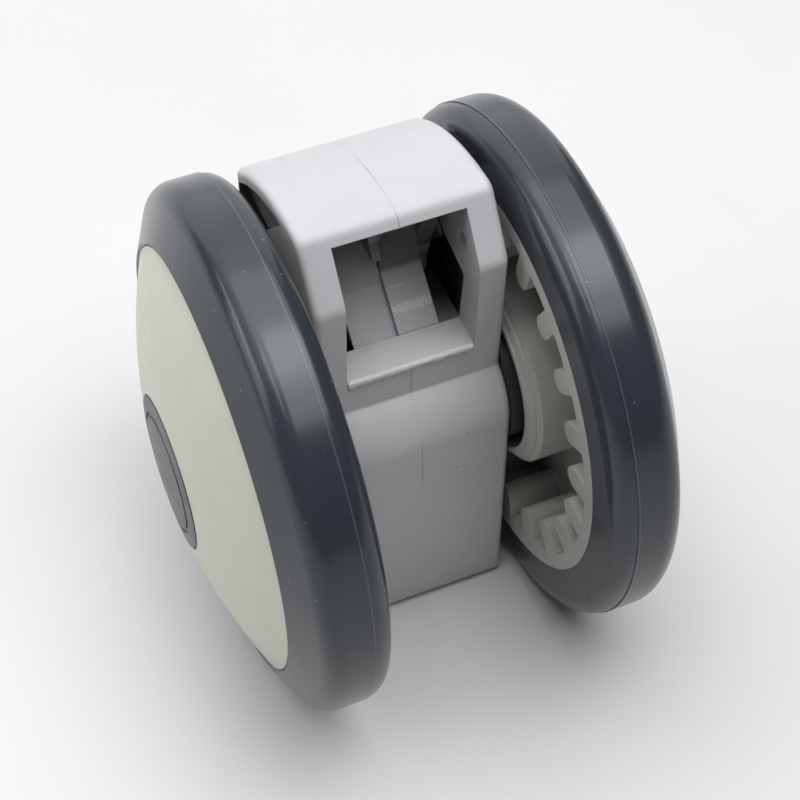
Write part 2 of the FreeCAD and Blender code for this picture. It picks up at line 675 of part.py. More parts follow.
def brake_rocker():
    """Rocker that hangs on its pin, with the pedal's flap and ramp in front and the bar's tube behind."""
    body = new_body("brake_rocker")
    span = "2 * (%s)" % ARM_OUTER
    far_left = "-(%s)" % ARM_OUTER
    length = "sqrt((%s - rocker_y)^2 + (%s - %s)^2)" % (BAR_Y, BAR_Z, ROCKER_Z)
    side_y = "arm_half_width * (%s - %s) / %s" % (ROCKER_Z, BAR_Z, length)
    side_z = "arm_half_width * (%s - rocker_y) / %s" % (BAR_Y, length)
    tube = new_sketch(body, "YZ_Plane", far_left)
    circle(tube, "rocker_y", ROCKER_Z, ROCKER_TUBE)
    pad(body, tube, span)
    for start in (far_left, "arm_inner_x"):
        arm = new_sketch(body, "YZ_Plane", start)
        outline(arm, [
            ("rocker_y - " + side_y, ROCKER_Z + " - " + side_z),
            (BAR_Y + " - " + side_y, BAR_Z + " - " + side_z),
            (BAR_Y + " + " + side_y, BAR_Z + " + " + side_z),
            ("rocker_y + " + side_y, ROCKER_Z + " + " + side_z),
        ])
        pad(body, arm, "arm_wall")
    tube = new_sketch(body, "YZ_Plane", far_left)
    circle(tube, BAR_Y, BAR_Z, BAR_TUBE)
    pad(body, tube, span)
    # Bent flap over the width of the rocker, with the ramp, its leaning wall and a fin raised in front of it
    flap = new_sketch(body, "YZ_Plane", "-flap_left_x")
    outline(flap, [
        ("flap_toe_y", "flap_toe_z"), ("flap_toe_y + flap_depth", "flap_toe_z"),
        ("flap_bend_y + flap_depth", "flap_bend_z"), ("flap_top_y + flap_depth", "flap_top_z"),
        ("flap_top_y", "flap_top_z"), ("flap_bend_y", "flap_bend_z"),
    ])
    ramp = new_sketch(body, "YZ_Plane", "ramp_x")
    outline(ramp, [
        ("rocker_y", ROCKER_Z), ("lean_y", "lean_z"), ("ramp_top_y", "ramp_top_z"),
        ("ramp_toe_y", "ramp_toe_z"), ("ramp_toe_y", "flap_toe_z"),
        ("flap_toe_y + flap_depth / 2", "flap_toe_z"),
        ("flap_bend_y + flap_depth / 2", "flap_bend_z"), ("flap_top_y + flap_depth / 2", "flap_top_z"),
        ("rocker_y + arm_half_width", ROCKER_Z),
    ])
    fin = new_sketch(body, "YZ_Plane", "-fin_left_x")
    outline(fin, [
        ("rocker_y", ROCKER_Z), ("fin_high_y", "fin_high_z"), ("fin_low_y", "fin_low_z"),
        ("flap_top_y + flap_depth / 2", "fin_low_z"), ("rocker_y + arm_half_width", ROCKER_Z),
    ])
    for sketch, width in ((flap, "flap_left_x + arm_inner_x"), (ramp, "arm_inner_x - ramp_x"),
                          (fin, "fin_width")):
        pad(body, sketch, width)
    for centre_y, centre_z, radius in (("rocker_y", ROCKER_Z, "pin_radius + running_fit"),
                                       (BAR_Y, BAR_Z, "bar_radius + press_gap")):
        sketch = new_sketch(body, "YZ_Plane", far_left)
        circle(sketch, centre_y, centre_z, radius)
        pocket(body, sketch, span, True)
    return body


def return_spring():
    """Bent steel leaf between the hood and the bar's tube, which lifts the bar out of the teeth."""
    roof = value(HOOD_INNER) - value("side_play") - value("leaf_wall") / 2
    start_y = value("leaf_start_y")
    bend_y = value("leaf_bend_y")
    angle = math.radians(value("bar_rest_angle"))
    reach = value(BAR_REST) + value(BAR_TUBE) + value("side_play") + value("leaf_wall") / 2
    touch = Vector(0, reach * math.cos(angle), reach * math.sin(angle))
    along = Vector(0, -math.sin(angle), math.cos(angle)) * value("leaf_foot")
    route = [
        Vector(0, start_y, math.sqrt(roof ** 2 - start_y ** 2)),
        Vector(0, bend_y, math.sqrt(roof ** 2 - bend_y ** 2)),
        touch + along,
        touch - along,
    ]
    strip = Part.makePolygon(route).makeOffset2D(value("leaf_wall") / 2, 0, True, False, False)
    width = value("leaf_width")
    strip.translate(Vector(-width - value("ramp_x"), 0, 0))
    spring = doc.addObject("Part::Feature", "return_spring")
    spring.Label = "return_spring"
    spring.Shape = strip.extrude(Vector(width, 0, 0))
    spring.Placement = FreeCAD.Placement(Vector(0, 0, value("wheel_radius")), FreeCAD.Rotation())
    nodes.append(spring)


def swivel():
    """Stem, washer and clip that turn together, and the two bushes in the housing's boss."""
    flange_top = "swivel_boss_top + swivel_flange"
    flange_low = "swivel_boss_top - swivel_boss - swivel_flange"
    washer_low = flange_top + " + side_play"
    collar_low = washer_low + " + thrust_wall"
    clip_top = flange_low + " - side_play"
    clip_low = clip_top + " - clip_wall"
    stem_low = clip_low + " - stem_tail"
    neck = "stem_radius - clip_groove"
    stem = [
        ("0", stem_low), ("stem_radius - stem_chamfer", stem_low),
        ("stem_radius", stem_low + " + stem_chamfer"),
        ("stem_radius", clip_low + " - press_gap"), (neck, clip_low + " - press_gap"), (neck, clip_top),
        ("stem_radius", clip_top), ("stem_radius", collar_low), ("collar_radius", collar_low),
        ("collar_radius", collar_low + " + collar_wall"), ("stem_radius", collar_low + " + collar_wall"),
        ("stem_radius", "stem_rise - stem_chamfer"), ("stem_radius - stem_chamfer", "stem_rise"),
        ("0", "stem_rise"),
    ]
    bore = "stem_radius + running_fit"
    bush = "(%s) + swivel_bush_wall" % bore
    fit = "stem_radius + press_gap"

    def upright(name, corners):
        return turned(name, corners, 1, "V_Axis", "XZ_Plane", "swivel_y")

    upright("swivel_stem", stem)
    upright("thrust_washer", [(fit, washer_low), ("collar_radius + thrust_lap", washer_low),
                              ("collar_radius + thrust_lap", collar_low), (fit, collar_low)])
    upright("retaining_ring", [("(%s) + press_gap" % neck, clip_low), ("clip_radius", clip_low),
                               ("clip_radius", clip_top), ("(%s) + press_gap" % neck, clip_top)])
    upright("swivel_bush_upper", [
        (bore, "swivel_boss_top - swivel_bush"), (bush, "swivel_boss_top - swivel_bush"),
        (bush, "swivel_boss_top"), ("swivel_flange_radius", "swivel_boss_top"),
        ("swivel_flange_radius", flange_top), (bore, flange_top),
    ])
    boss_low = "swivel_boss_top - swivel_boss"
    upright("swivel_bush_lower", [
        (bore, flange_low), ("swivel_flange_radius", flange_low), ("swivel_flange_radius", boss_low),
        (bush, boss_low), (bush, boss_low + " + swivel_bush"), (bore, boss_low + " + swivel_bush"),
    ])


for side, sign in (("left", -1), ("right", 1)):
    wheel(side, sign)
    housing("housing_" + side, sign)
    ring("axle_spacer_" + side, sign, AXLE_SEAT, "spacer_radius", "housing_half", "spacer_wall")
    ring("push_nut_" + side, sign, AXLE_SEAT, "nut_radius", NUT_START, "nut_wall")
rod("axle", "axle_radius", "(%s) + nut_wall + axle_end" % NUT_START, "0", "0")
rod("rocker_pin", "pin_radius", "pocket_half + pin_seat", "rocker_y", ROCKER_Z)
rod("brake_bar", "bar_radius", "bar_half", BAR_Y, BAR_Z)
brake_rocker()
return_spring()
screws()
swivel()
doc.recompute()

for item in doc.Objects:
    if any(word in item.State for word in ("Invalid", "Error")):
        raise ValueError("%s could not be built" % item.Label)
for node in nodes:
    if node.Shape.isNull() or not node.Shape.isValid() or not node.Shape.Solids:
        raise ValueError("%s has no valid solid" % node.Label)

os.makedirs("parts", exist_ok=True)
for node in nodes:
    node.Shape.exportStep(os.path.join("parts", node.Label + ".step"))
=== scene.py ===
"""Looks of a swivel caster: its finishes, its moulding marks, its leaf spring and a small studio."""

import logging
import math
import random
from dataclasses import dataclass, field
from enum import Enum
from typing import NamedTuple

import bmesh
import bpy
from mathutils import Matrix, Vector


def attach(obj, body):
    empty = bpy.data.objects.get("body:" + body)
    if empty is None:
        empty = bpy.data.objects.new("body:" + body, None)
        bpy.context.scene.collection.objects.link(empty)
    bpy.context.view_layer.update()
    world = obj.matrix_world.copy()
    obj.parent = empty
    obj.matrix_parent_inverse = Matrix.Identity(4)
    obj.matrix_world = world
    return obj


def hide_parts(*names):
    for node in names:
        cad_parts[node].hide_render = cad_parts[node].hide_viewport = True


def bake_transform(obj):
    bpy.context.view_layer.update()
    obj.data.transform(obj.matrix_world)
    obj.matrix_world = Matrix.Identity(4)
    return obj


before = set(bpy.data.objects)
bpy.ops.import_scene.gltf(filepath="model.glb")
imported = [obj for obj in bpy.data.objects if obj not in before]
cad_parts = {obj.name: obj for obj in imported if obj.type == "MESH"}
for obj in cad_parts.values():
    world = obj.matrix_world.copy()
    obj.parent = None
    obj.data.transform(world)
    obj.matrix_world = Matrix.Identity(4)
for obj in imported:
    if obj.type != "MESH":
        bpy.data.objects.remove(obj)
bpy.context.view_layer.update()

LOG = logging.getLogger("swivel_caster")
AXLE_HEIGHT = 0.075

WHITE = (1.0, 1.0, 1.0, 1.0)

Colour = tuple[float, float, float]
Point = tuple[float, float, float]
Span = tuple[float, float]
Socket = bpy.types.NodeSocket
# Colour, roughness and relief of a surface
Look = tuple[Socket, Socket, Socket]


class Side(Enum):
    """The two sides of the caster, as the nodes name them."""

    LEFT = "left"
    RIGHT = "right"


class Body(Enum):
    """The bodies that the scene's own pieces follow."""

    HOUSING = "housing"
    BRAKE = "brake"


class Axis(Enum):
    """A direction of the object's own frame, by its place in a vector."""

    X = 0
    Y = 1
    Z = 2


def toned(colour: Colour, factor: float) -> Colour:
    """A colour made darker or lighter by a factor."""
    return tuple(factor * part for part in colour)


class Bench:
    """Lays out the nodes of one material on the piece's own coordinates."""

    # Share of a mark's half width that is fully drawn; the rest fades out
    SPECK_CORE = 0.6
    LINE_CORE = 0.4
    DOT_CORE = 0.5
    # Where along Y a dot on the front starts to show, and where it is whole
    FRONT: Span = (-0.012, -0.014)
    EDGE_SAMPLES = 4
    # Places of the two colours and of the result on a colour mix node
    MIX_FIRST, MIX_SECOND, MIX_RESULT = 6, 7, 2

    def __init__(self, name: str) -> None:
        """Start an empty material with one glossy surface shader.

        Args:
            name: Name of the material.
        """
        self.material = bpy.data.materials.new(name)
        self.material.use_nodes = True
        self.tree = self.material.node_tree
        self.tree.nodes.clear()
        output = self.tree.nodes.new("ShaderNodeOutputMaterial")
        self.shader = self.tree.nodes.new("ShaderNodeBsdfPrincipled")
        self.tree.links.new(self.shader.outputs["BSDF"], output.inputs["Surface"])
        self.place = self.tree.nodes.new("ShaderNodeTexCoord").outputs["Object"]
        split = self.tree.nodes.new("ShaderNodeSeparateXYZ")
        self.tree.links.new(self.place, split.inputs["Vector"])
        self.axes = dict(zip(Axis, split.outputs))

    def put(self, value: "Socket | float | Colour", target: Socket) -> None:
        """Feed a socket from another one, or set it to a constant.

        Args:
            value: Another node's output, a number or a colour.
            target: The input to feed.
        """
        if isinstance(value, Socket):
            self.tree.links.new(value, target)
        elif isinstance(value, tuple) and len(target.default_value) == 4:
            target.default_value = (*value, 1.0)
        else:
            target.default_value = value

    def math(self, operation: str, first: "Socket | float", second: "Socket | float" = 0.0) -> Socket:
        """Join two values with a sum, product or other operation.

        Args:
            operation: Blender's name of the operation.
            first: Its first value.
            second: Its second value.

        Returns:
            The result's socket.
        """
        node = self.tree.nodes.new("ShaderNodeMath")
        node.operation = operation
        self.put(first, node.inputs[0])
        self.put(second, node.inputs[1])
        return node.outputs[0]

    def times(self, first: "Socket | float", second: "Socket | float") -> Socket:
        """The product of two values."""
        return self.math("MULTIPLY", first, second)

    def plus(self, first: "Socket | float", second: "Socket | float") -> Socket:
        """The sum of two values."""
        return self.math("ADD", first, second)

    def reach(self, first: Socket, second: Socket) -> Socket:
        """The length of a slant over two sides at a right angle."""
        return self.math("SQRT", self.plus(self.math("POWER", first, 2.0), self.math("POWER", second, 2.0)))

    def noise(self, scale: float, detail: float = 3.0, stretch: Point = (1.0, 1.0, 1.0)) -> Socket:
        """Cloudy variation over the surface.

        Args:
            scale: Clouds to the metre.
            detail: Octaves of finer clouds.
            stretch: Factors on the three axes, for marks drawn out along one of them.

        Returns:
            A value around a half.
        """
        mapping = self.tree.nodes.new("ShaderNodeMapping")
        mapping.inputs["Scale"].default_value = stretch
        self.put(self.place, mapping.inputs["Vector"])
        node = self.tree.nodes.new("ShaderNodeTexNoise")
        node.inputs["Scale"].default_value = scale
        node.inputs["Detail"].default_value = detail
        self.put(mapping.outputs["Vector"], node.inputs["Vector"])
        return node.outputs["Fac"]

    def specks(self, scale: float, size: float) -> Socket:
        """Sparse round dots.

        Args:
            scale: Cells to the metre.
            size: A dot's radius as a share of its cell.

        Returns:
            One inside a dot and nought elsewhere.
        """
        node = self.tree.nodes.new("ShaderNodeTexVoronoi")
        node.inputs["Scale"].default_value = scale
        self.put(self.place, node.inputs["Vector"])
        return self.ramp(node.outputs["Distance"], size, self.SPECK_CORE * size)

    def ramp(self, value: Socket, start: float, stop: float) -> Socket:
        """Stretch a range of values over nought to one, held at its ends.

        Args:
            value: What to stretch.
            start: The value that gives nought.
            stop: The value that gives one.

        Returns:
            The stretched value.
        """
        node = self.tree.nodes.new("ShaderNodeMapRange")
        self.put(value, node.inputs["Value"])
        node.inputs["From Min"].default_value = start
        node.inputs["From Max"].default_value = stop
        return node.outputs["Result"]

    def line(self, value: Socket, at: float, half: float) -> Socket:
        """A soft line where a value is close to a number: one on it and nought away from it."""
        away = self.math("ABSOLUTE", self.math("SUBTRACT", value, at))
        return self.ramp(away, half, self.LINE_CORE * half)

    def between(self, value: Socket, low: float, high: float, soft: float) -> Socket:
        """A band with soft borders.

        Args:
            value: The value that crosses the band.
            low: Its lower border.
            high: Its upper border.
            soft: Width of each border.

        Returns:
            One inside the band and nought outside it.
        """
        rise = self.ramp(value, low - soft / 2, low + soft / 2)
        fall = self.ramp(value, high + soft / 2, high - soft / 2)
        return self.times(rise, fall)

    def mix(self, share: "Socket | float", first: "Socket | Colour", second: "Socket | Colour") -> Socket:
        """Blend two colours.

        Args:
            share: How much of the second colour shows.
            first: The colour where the share is nought.
            second: The colour where the share is one.

        Returns:
            The blended colour.
        """
        node = self.tree.nodes.new("ShaderNodeMix")
        node.data_type = "RGBA"
        self.put(share, node.inputs["Factor"])
        self.put(first, node.inputs[self.MIX_FIRST])
        self.put(second, node.inputs[self.MIX_SECOND])
        return node.outputs[self.MIX_RESULT]

    def dot(self, across: float, high: float, radius: float) -> Socket:
        """A round dot on the front.

        Args:
            across: Its place along the axle.
            high: Its height.
            radius: Its radius.

        Returns:
            One inside the dot and nought elsewhere.
        """
        aside = self.math("SUBTRACT", self.axes[Axis.X], across)
        above = self.math("SUBTRACT", self.axes[Axis.Z], high)
        away = self.reach(aside, above)
        front = self.ramp(self.axes[Axis.Y], *self.FRONT)
        return self.times(front, self.ramp(away, radius, self.DOT_CORE * radius))

    def relief(self, height: Socket, depth: float, edge: "Socket | float" = 0.0) -> None:
        """Give the surface a fine relief and, if asked, softened edges.

        Args:
            height: The relief's height as a share of its depth.
            depth: The relief's depth in metres.
            edge: Radius of the softened edges in metres; nought leaves them sharp.
        """
        node = self.tree.nodes.new("ShaderNodeBump")
        node.inputs["Strength"].default_value = 1.0
        node.inputs["Distance"].default_value = depth
        self.put(height, node.inputs["Height"])
        if isinstance(edge, Socket) or edge > 0.0:
            soft = self.tree.nodes.new("ShaderNodeBevel")
            soft.samples = self.EDGE_SAMPLES
            self.put(edge, soft.inputs["Radius"])
            self.put(soft.outputs["Normal"], node.inputs["Normal"])
        self.put(node.outputs["Normal"], self.shader.inputs["Normal"])

    def radius(self) -> Socket:
        """Distance from the axle's line."""
        return self.reach(self.math("SUBTRACT", self.axes[Axis.Z], AXLE_HEIGHT), self.axes[Axis.Y])


@dataclass(frozen=True)
class Plastic:
    """Injection-moulded plastic with a faint mottle, a fine skin and a few specks of dust."""

    name: str
    colour: Colour
    shade: Colour
    gloss: float
    skin: float = 1400.0
    skin_depth: float = 0.00002
    dust: float = 0.04
    dust_cells: float = 420.0
    dust_share: float = 0.35
    dust_tone: float = 0.35
    spread: float = 90.0
    mottle: Span = (0.32, 0.68)
    scuffs: float = 240.0
    scuff_stretch: Point = (1.0, 0.35, 1.0)
    scuff_span: Span = (0.45, 0.75)
    scuff_rough: float = 0.12
    refraction: float = 1.5
    edge: float = 0.0004

    def softness(self, bench: Bench) -> "Socket | float":
        """Radius of the softened edges, the same all over on plain plastic."""
        return self.edge

    def marks(self, bench: Bench, colour: Socket, rough: Socket, height: Socket) -> Look:
        """Add one moulding's marks to its colour, roughness and relief; plain plastic has none."""
        return colour, rough, height

    def make(self) -> bpy.types.Material:
        """Build the material.

        Returns:
            The finished material.
        """
        bench = Bench(self.name)
        cloud = bench.ramp(bench.noise(self.spread, detail=5.0), *self.mottle)
        colour = bench.mix(cloud, self.colour, self.shade)
        dust = bench.times(bench.specks(self.dust_cells, self.dust), self.dust_share)
        colour = bench.mix(dust, colour, toned(self.colour, self.dust_tone))
        scuff = bench.ramp(bench.noise(self.scuffs, detail=6.0, stretch=self.scuff_stretch), *self.scuff_span)
        rough = bench.plus(bench.times(scuff, self.scuff_rough), 1.0 - self.gloss)
        height = bench.noise(self.skin, detail=2.0)
        colour, rough, height = self.marks(bench, colour, rough, height)
        bench.put(colour, bench.shader.inputs["Base Color"])
        bench.put(rough, bench.shader.inputs["Roughness"])
        bench.shader.inputs["IOR"].default_value = self.refraction
        bench.relief(height, self.skin_depth, self.softness(bench))
        return bench.material


class Speck(NamedTuple):
    """A dark speck on the front: its place along the axle, its height and its radius."""

    across: float
    high: float
    radius: float


class Scratch(NamedTuple):
    """A pale scratch: its two ends along the axle, its height at the middle of the axle and its slope."""

    left: float
    right: float
    high: float
    slope: float


@dataclass(frozen=True)
class HousingPlastic(Plastic):
    """The housing's plastic, with the parting seam between its halves, painted shade in the room behind the
    pocket and two specks.
    """

    seam_half: float = 0.00018
    seam_colour: Colour = (0.10, 0.095, 0.10)
    seam_fade: Span = (0.0005, 0.0010)
    wander: float = 0.0007
    wander_scale: float = 45.0
    faint: float = 0.14
    faint_scale: float = 60.0
    faint_stretch: Point = (0.0, 1.0, 1.0)
    open_bands: tuple[Span, ...] = ((0.0597, 0.0767), (0.0888, 0.0996), (0.1436, 0.1475))
    open_share: float = 0.6
    open_border: float = 0.003
    sill: Span = (0.1004, 0.1022)
    sill_border: float = 0.0002
    room_half: float = 0.02666
    room_radius: float = 0.0703
    room_front: Span = (0.004, 0.016)
    room_back: float = 0.0459
    # Painted shade: dark colour laid over the walls of the room behind the pocket
    painted_shade: Colour = (0.05, 0.05, 0.055)
    painted_shade_share: float = 0.85
    specks: tuple[Speck, ...] = (Speck(0.0106, 0.06065, 0.00042), Speck(0.0135, 0.07477, 0.00036))
    speck_colour: Colour = (0.16, 0.10, 0.07)
    speck_share: float = 0.8

    def softness(self, bench: Bench) -> "Socket | float":
        """Radius of the softened edges, which falls to nought at the two that meet in the seam."""
        aside = bench.math("ABSOLUTE", bench.axes[Axis.X])
        return bench.times(bench.ramp(aside, *self.seam_fade), self.edge)

    def inside(self, bench: Bench) -> Socket:
        """Find the walls of the room behind the pocket.

        Args:
            bench: The material's nodes.

        Returns:
            One deep in the room and nought on the outside.
        """
        aside = bench.math("ABSOLUTE", bench.axes[Axis.X])
        walls = bench.ramp(bench.axes[Axis.Y], *self.room_front)
        for value, limit in ((aside, self.room_half), (bench.radius(), self.room_radius),
                             (bench.axes[Axis.Y], self.room_back)):
            walls = bench.times(walls, bench.math("LESS_THAN", value, limit))
        return walls

    def marks(self, bench: Bench, colour: Socket, rough: Socket, height: Socket) -> Look:
        """Draw the seam at the middle of the axle, open here and tight there, the painted shade deep inside
        and the specks.

        Args:
            bench: The material's nodes.
            colour: Colour so far.
            rough: Roughness so far.
            height: Relief so far.

        Returns:
            Colour, roughness and relief with these marks in them.
        """
        high = bench.axes[Axis.Z]
        sway = bench.math("SUBTRACT", bench.noise(self.wander_scale, detail=2.0), 0.5)
        seam = bench.line(bench.plus(bench.axes[Axis.X], bench.times(sway, self.wander)), 0.0, self.seam_half)
        faint = bench.times(bench.noise(self.faint_scale, stretch=self.faint_stretch), self.faint)
        sill = bench.between(high, *self.sill, self.sill_border)
        gape = bench.times(faint, bench.math("SUBTRACT", 1.0, sill))
        for band in self.open_bands:
            opened = bench.between(high, *band, self.open_border)
            gape = bench.plus(gape, bench.times(opened, self.open_share))
        colour = bench.mix(bench.times(seam, gape), colour, self.seam_colour)
        # Painted shade on the walls of the room behind the pocket
        colour = bench.mix(bench.times(self.inside(bench), self.painted_shade_share), colour, self.painted_shade)
        for speck in self.specks:
            colour = bench.mix(bench.times(bench.dot(*speck), self.speck_share), colour, self.speck_colour)
        return colour, rough, height


@dataclass(frozen=True)
class RampPlastic(Plastic):
    """The rocker's plastic, with a pale rubbed band and two scratches on the ramp and painted shade above it.
    """

    band: Span = (0.1047, 0.1064)
    band_border: float = 0.0008
    ramp_width: Span = (0.0011, 0.0124)
    ramp_border: float = 0.0004
    flecks: float = 3200.0
    fleck_span: Span = (0.47, 0.56)
    rubbed: Colour = (0.90, 0.89, 0.91)
    rub_share: float = 0.9
    rub_rough: float = 0.2
    rub_height: float = 2.0
    scratches: tuple[Scratch, ...] = (Scratch(0.0016, 0.0061, 0.10990, -0.06),
                                      Scratch(0.0042, 0.0096, 0.10950, 0.035))
    scratch_half: float = 0.00022
    scratch_border: float = 0.0008
    scratch_share: float = 0.22
    # Painted shade: dark colour over the wall above the ramp's crest and the upper flap
    painted_shade: Colour = (0.07, 0.07, 0.076)
    painted_shade_share: float = 0.85
    wall_left: float = 0.00055
    wall_fade: Span = (0.1120, 0.1136)
    flap_fade: Span = (0.1096, 0.1226)
    flap_share: float = 0.75

    def rub(self, bench: Bench) -> Socket:
        """Fleck the rubbed band, and draw the scratches above it.

        Args:
            bench: The material's nodes.

        Returns:
            One on a mark and nought beside it.
        """
        across, high = bench.axes[Axis.X], bench.axes[Axis.Z]
        face = bench.between(across, *self.ramp_width, self.ramp_border)
        band = bench.times(face, bench.between(high, *self.band, self.band_border))
        rub = bench.times(band, bench.ramp(bench.noise(self.flecks, detail=2.0), *self.fleck_span))
        for scratch in self.scratches:
            level = bench.plus(high, bench.times(across, -scratch.slope))
            mark = bench.line(level, scratch.high, self.scratch_half)
            mark = bench.times(mark, bench.between(across, scratch.left, scratch.right, self.scratch_border))
            rub = bench.plus(rub, bench.times(mark, self.scratch_share))
        return rub

    def dark(self, bench: Bench) -> Socket:
        """Find the faces that get painted shade: at once above the ramp's crest and slowly up the flap.

        Args:
            bench: The material's nodes.

        Returns:
            One where the painted shade is deepest and nought on the faces without it.
        """
        right = bench.math("GREATER_THAN", bench.axes[Axis.X], self.wall_left)
        wall = bench.times(right, bench.ramp(bench.axes[Axis.Z], *self.wall_fade))
        flap = bench.times(bench.ramp(bench.axes[Axis.Z], *self.flap_fade), self.flap_share)
        return bench.math("MAXIMUM", wall, flap)

    def marks(self, bench: Bench, colour: Socket, rough: Socket, height: Socket) -> Look:
        """Add the painted shade, the rubbed band and the scratches.

        Args:
            bench: The material's nodes.
            colour: Colour so far.
            rough: Roughness so far.
            height: Relief so far.

        Returns:
            Colour, roughness and relief with these marks in them.
        """
        # Painted shade above the ramp's crest and slowly up the flap
        colour = bench.mix(bench.times(self.dark(bench), self.painted_shade_share), colour, self.painted_shade)
        rub = self.rub(bench)
        colour = bench.mix(bench.times(rub, self.rub_share), colour, self.rubbed)
        rough = bench.plus(rough, bench.times(rub, self.rub_rough))
        height = bench.plus(height, bench.times(rub, self.rub_height))
        return colour, rough, height


@dataclass(frozen=True)
class CorePlastic(Plastic):
    """The wheel core's plastic, with fine rings about the axle."""

    rings: float = 9000.0
    ring_height: float = 0.12

    def marks(self, bench: Bench, colour: Socket, rough: Socket, height: Socket) -> Look:
        """Run faint rings about the axle over the surface.

        Args:
            bench: The material's nodes.
            colour: Colour so far.
            rough: Roughness so far.
            height: Relief so far.

        Returns:
            Colour, roughness and relief with the rings in them.
        """
        turns = bench.math("SINE", bench.times(bench.radius(), self.rings))
        height = bench.plus(height, bench.times(turns, self.ring_height))
        return colour, rough, height


@dataclass(frozen=True)
class Rubber:
    """Dark moulded rubber with a mould line, faint scuffs and pale dust."""

    name: str
    colour: Colour
    worn: Colour
    gloss: float
    mould_line: float
    line_half: float = 0.00036
    line_share: float = 0.4
    line_tone: float = 3.2
    line_height: float = 2.5
    clouds: float = 55.0
    cloud_span: Span = (0.15, 0.85)
    dust: float = 0.042
    dust_cells: float = 200.0
    dust_share: float = 0.6
    dust_colour: Colour = (0.50, 0.50, 0.48)
    scuffs: float = 70.0
    scuff_rough: float = 0.05
    skin: float = 1900.0
    skin_depth: float = 0.000008
    refraction: float = 1.48

    def make(self) -> bpy.types.Material:
        """Build the material.

        Returns:
            The finished material.
        """
        bench = Bench(self.name)
        cloud = bench.ramp(bench.noise(self.clouds, detail=4.0), *self.cloud_span)
        colour = bench.mix(cloud, self.colour, self.worn)
        line = bench.line(bench.math("ABSOLUTE", bench.axes[Axis.X]), self.mould_line, self.line_half)
        colour = bench.mix(bench.times(line, self.line_share), colour, toned(self.worn, self.line_tone))
        dust = bench.times(bench.specks(self.dust_cells, self.dust), self.dust_share)
        colour = bench.mix(dust, colour, self.dust_colour)
        scuff = bench.ramp(bench.noise(self.scuffs, detail=4.0), *self.cloud_span)
        rough = bench.plus(bench.times(scuff, self.scuff_rough), 1.0 - self.gloss)
        skin = bench.plus(bench.noise(self.skin, detail=2.0), bench.times(line, self.line_height))
        bench.put(colour, bench.shader.inputs["Base Color"])
        bench.put(rough, bench.shader.inputs["Roughness"])
        bench.shader.inputs["IOR"].default_value = self.refraction
        bench.relief(skin, self.skin_depth)
        return bench.material


@dataclass(frozen=True)
class Steel:
    """Plated steel drawn along one axis."""

    name: str
    colour: Colour
    roughness: float
    grain: Axis
    grain_scale: float = 2400.0
    grain_stretch: float = 0.04
    grain_rough: float = 0.16
    grain_depth: float = 0.00001
    stains: float = 120.0
    stain_span: Span = (0.4, 0.75)
    stain_share: float = 0.5
    stain_tone: float = 0.6
    edge: float = 0.0002

    def make(self) -> bpy.types.Material:
        """Build the material.

        Returns:
            The finished material.
        """
        bench = Bench(self.name)
        stretch = tuple(self.grain_stretch if axis is self.grain else 1.0 for axis in Axis)
        draw = bench.noise(self.grain_scale, detail=4.0, stretch=stretch)
        stain = bench.ramp(bench.noise(self.stains, detail=5.0), *self.stain_span)
        stained = toned(self.colour, self.stain_tone)
        colour = bench.mix(bench.times(stain, self.stain_share), self.colour, stained)
        rough = bench.plus(bench.times(draw, self.grain_rough), self.roughness)
        bench.put(colour, bench.shader.inputs["Base Color"])
        bench.put(rough, bench.shader.inputs["Roughness"])
        bench.shader.inputs["Metallic"].default_value = 1.0
        bench.relief(draw, self.grain_depth, self.edge)
        return bench.material


@dataclass(frozen=True)
class Paper:
    """Matt white studio paper with a barely seen unevenness, brightened with painted light far out, where no
    lamp reaches it.
    """

    name: str
    colour: Colour
    shade: Colour
    clouds: float = 7.0
    cloud_span: Span = (0.35, 0.70)
    roughness: float = 0.85
    glow: float = 0.62
    glow_span: Span = (0.8, 2.4)

    def make(self) -> bpy.types.Material:
        """Build the material.

        Returns:
            The finished material.
        """
        bench = Bench(self.name)
        cloud = bench.ramp(bench.noise(self.clouds, detail=4.0), *self.cloud_span)
        bench.put(bench.mix(cloud, self.colour, self.shade), bench.shader.inputs["Base Color"])
        bench.shader.inputs["Roughness"].default_value = self.roughness
        # Painted light: the paper glows more the farther it lies from the middle
        away = bench.reach(bench.axes[Axis.X], bench.axes[Axis.Y])
        glow = bench.times(bench.ramp(away, *self.glow_span), self.glow)
        bench.shader.inputs["Emission Color"].default_value = WHITE
        bench.put(glow, bench.shader.inputs["Emission Strength"])
        return bench.material


HOUSING_GREY = HousingPlastic("housing_grey", (0.52, 0.51, 0.533), (0.50, 0.49, 0.513), 0.62, edge=0.00025)
CORE_GREY = CorePlastic("core_grey", (0.49, 0.473, 0.445), (0.47, 0.453, 0.425), 0.60)
CAP_CREAM = Plastic("cap_cream", (0.54, 0.54, 0.465), (0.525, 0.525, 0.45), 0.66, dust=0.025)
CENTRE_GREY = Plastic("centre_grey", (0.088, 0.094, 0.103), (0.082, 0.088, 0.097), 0.58)
ROCKER_GREY = RampPlastic("rocker_grey", (0.45, 0.44, 0.465), (0.43, 0.42, 0.445), 0.60)
SPACER_BLACK = Plastic("spacer_black", (0.028, 0.029, 0.032), (0.02, 0.021, 0.023), 0.5)
TYRE_SLATE = Rubber("tyre_slate", (0.027, 0.0345, 0.0425), (0.031, 0.0385, 0.0465), 0.81, 0.0366)
STEEL_ACROSS = Steel("steel_across", (0.56, 0.56, 0.57), 0.26, Axis.X)
STEEL_BLACK = Steel("steel_black", (0.10, 0.10, 0.105), 0.40, Axis.X)
STEEL_UPRIGHT = Steel("steel_upright", (0.58, 0.58, 0.59), 0.24, Axis.Z)
FLASH_WHITE = Plastic("flash_white", (0.66, 0.65, 0.67), (0.56, 0.55, 0.57), 0.55, spread=900.0)
